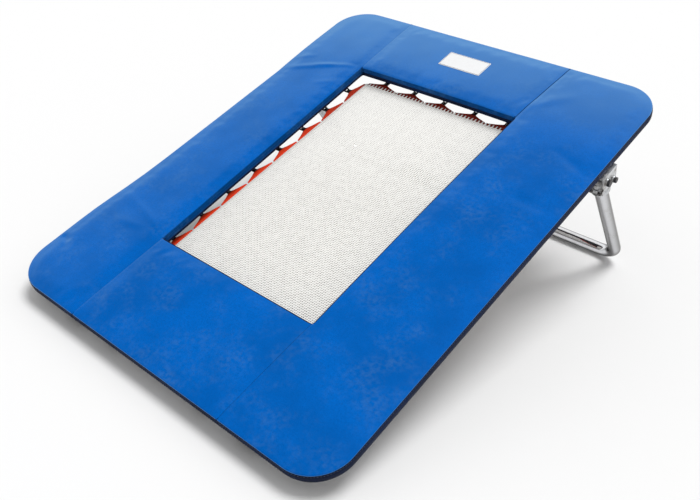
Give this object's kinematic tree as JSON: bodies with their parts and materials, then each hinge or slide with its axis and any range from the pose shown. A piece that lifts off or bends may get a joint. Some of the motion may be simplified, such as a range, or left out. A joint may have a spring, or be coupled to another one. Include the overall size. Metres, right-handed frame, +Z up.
{
  "type": "minitramp trampoline",
  "caption": "Sloping take-off trampoline: woven bed sprung by rubber cables in a bent tube frame, padded surround, folding U-shaped leg at the raised end.",
  "frame": {"origin": "centre of the bounding box in plan, on the floor that the feet and the leg stand on", "axes": "+Z up, +Y towards the raised end that the leg carries, +X to the right as seen from the low end; the pad slopes about X"},
  "size_m": [1.0402, 1.2679, 0.4893],
  "materials": {
    "chromed_tube": "bright plated, lightly worn",
    "hinge_steel": "zinc plated",
    "fasteners": "black oxide",
    "painted_hooks": "satin",
    "black_rubber": "matte",
    "cable_rubber": "matte",
    "link_wire": "black coated",
    "red_webbing": "woven webbing",
    "white_mesh": "open woven strings",
    "blue_vinyl": "grained vinyl, satin",
    "strap_webbing": "woven webbing",
    "label_cloth": "coated cloth"
  },
  "bodies": {
    "frame": {"frame_tube": "chromed_tube", "frame_hooks_left": "painted_hooks", "frame_hooks_right": "painted_hooks", "frame_hooks_far": "painted_hooks", "frame_hooks_near": "painted_hooks", "hinge_bracket_left": "hinge_steel", "hinge_bracket_right": "hinge_steel", "hinge_bolts": "fasteners", "stop_bolts": "fasteners", "hinge_washers": "hinge_steel", "rubber_foot_left": "black_rubber", "rubber_foot_right": "black_rubber", "foot_screws": "fasteners", "rubber_cables_left": "cable_rubber", "rubber_cables_right": "cable_rubber", "rubber_cables_far": "cable_rubber", "rubber_cables_near": "cable_rubber", "pad_left": "blue_vinyl", "pad_right": "blue_vinyl", "pad_far": "blue_vinyl", "pad_near": "blue_vinyl", "pad_straps": "strap_webbing", "label_patch": "label_cloth"},
    "leg": {"u_leg": "chromed_tube", "leg_head_left": "hinge_steel", "leg_head_right": "hinge_steel", "clamp_screws": "fasteners", "floor_sleeves": "black_rubber"},
    "bed": {"bed": "white_mesh", "bed_tabs_left": "red_webbing", "bed_tabs_right": "red_webbing", "bed_tabs_far": "red_webbing", "bed_tabs_near": "red_webbing", "tab_links_left": "link_wire", "tab_links_right": "link_wire", "tab_links_far": "link_wire", "tab_links_near": "link_wire"}
  },
  "joints": [
    {"name": "leg_fold", "type": "hinge", "parent": "frame", "child": "leg", "pos_m": [0, 0.35182, 0.34244], "axis": [-1, 0, 0], "range_deg": [0, 101]},
    {"name": "bed_bounce", "type": "slide", "parent": "frame", "child": "bed", "axis": [0, 0.3302, -0.9439], "range_m": [0, 0.03], "stiffness_N_per_m": 6000, "springref_m": -0.01, "deforming": ["rubber_cables_left", "rubber_cables_right", "rubber_cables_far", "rubber_cables_near"]}
  ]
}
